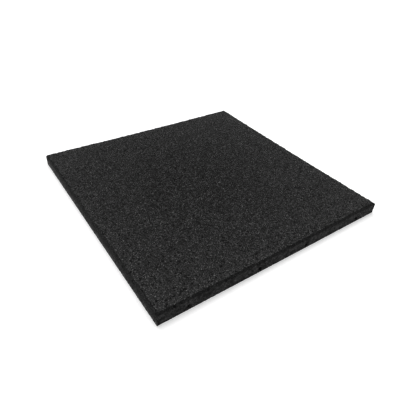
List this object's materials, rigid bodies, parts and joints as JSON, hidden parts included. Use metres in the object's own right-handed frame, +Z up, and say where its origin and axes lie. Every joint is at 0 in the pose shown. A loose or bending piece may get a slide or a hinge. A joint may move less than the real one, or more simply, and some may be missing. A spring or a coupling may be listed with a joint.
{
  "type": "rubber gym floor tile",
  "caption": "Square slab of black pressed rubber crumb with chamfered upper edges and blind pin holes in a pair of opposite walls.",
  "frame": {"origin": "centre of the underside", "axes": "+Z up through the tile's thickness; the walls with the pin holes face -Y and +Y, the plain walls -X and +X"},
  "size_m": [0.5, 0.5, 0.025],
  "materials": {
    "crumb_rubber": "matt, grainy pressed crumb"
  },
  "bodies": {
    "root": {"rubber_tile": "crumb_rubber"}
  },
  "joints": []
}
